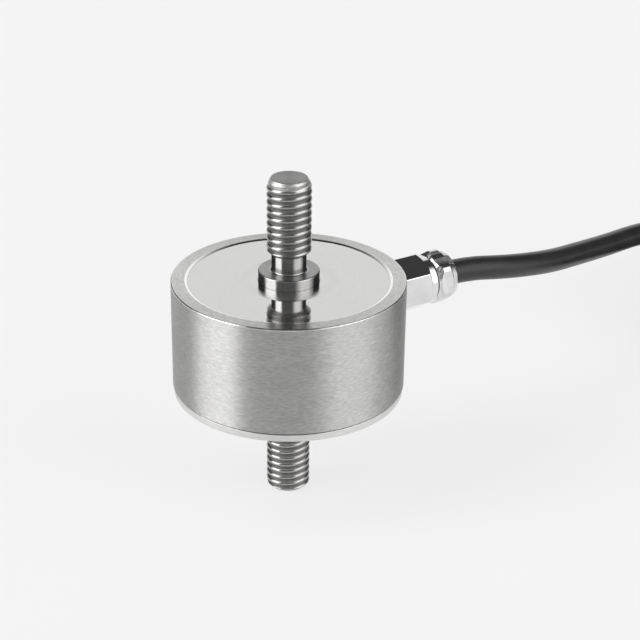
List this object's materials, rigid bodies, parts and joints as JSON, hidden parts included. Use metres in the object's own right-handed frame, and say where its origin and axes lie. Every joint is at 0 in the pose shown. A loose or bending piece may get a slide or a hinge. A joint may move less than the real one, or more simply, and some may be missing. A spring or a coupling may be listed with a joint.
{
  "type": "miniature tension load cell",
  "caption": "Small round stainless load cell with an M6 stud out of each face, a polished cover, a hexagonal cable gland in its side and a coiled black cable.",
  "frame": {"origin": "Middle of the lower stud's end, on the surface that the cell stands on.", "axes": "+Z is the load axis, from the lower stud to the upper one; +X is the axis of the cable gland, along which the cable leaves."},
  "size_m": [0.1473, 0.054, 0.0459],
  "materials": {
    "turned_steel": "fine turned",
    "stud_steel": "turned and threaded",
    "base_steel": "satin",
    "polished_steel": "polished",
    "nickel": "polished",
    "cable_black": "satin",
    "tie_black": "satin",
    "soft_seal": "matte",
    "gauge_foil": "satin",
    "copper_wire": "satin",
    "board_green": "satin",
    "chip_black": "matte",
    "core_red": "satin",
    "core_white": "satin",
    "core_green": "satin",
    "core_black": "satin"
  },
  "bodies": {
    "root": {"housing": "turned_steel", "load_element": "stud_steel", "cover_plate": "polished_steel", "collar_seal": "soft_seal", "base_plate": "base_steel", "strain_gauge_1": "gauge_foil", "strain_gauge_2": "gauge_foil", "strain_gauge_3": "gauge_foil", "strain_gauge_4": "gauge_foil", "gauge_ribbons": "copper_wire", "circuit_board": "board_green", "zero_resistor": "chip_black", "span_resistor": "chip_black", "temperature_resistor": "chip_black", "gland_body": "nickel", "gland_seal": "soft_seal", "clamp_ring": "nickel", "gland_nut": "nickel", "cable_entry": "cable_black", "core_red": "core_red", "core_white": "core_white", "core_green": "core_green", "core_black": "core_black", "cable_run": "cable_black", "cable_coil": "cable_black", "coil_tie_1": "tie_black", "coil_tie_2": "tie_black", "cable_tail": "cable_black", "end_sleeve": "soft_seal", "lead_red": "core_red", "lead_white": "core_white", "lead_green": "core_green", "lead_black": "core_black"}
  },
  "joints": []
}
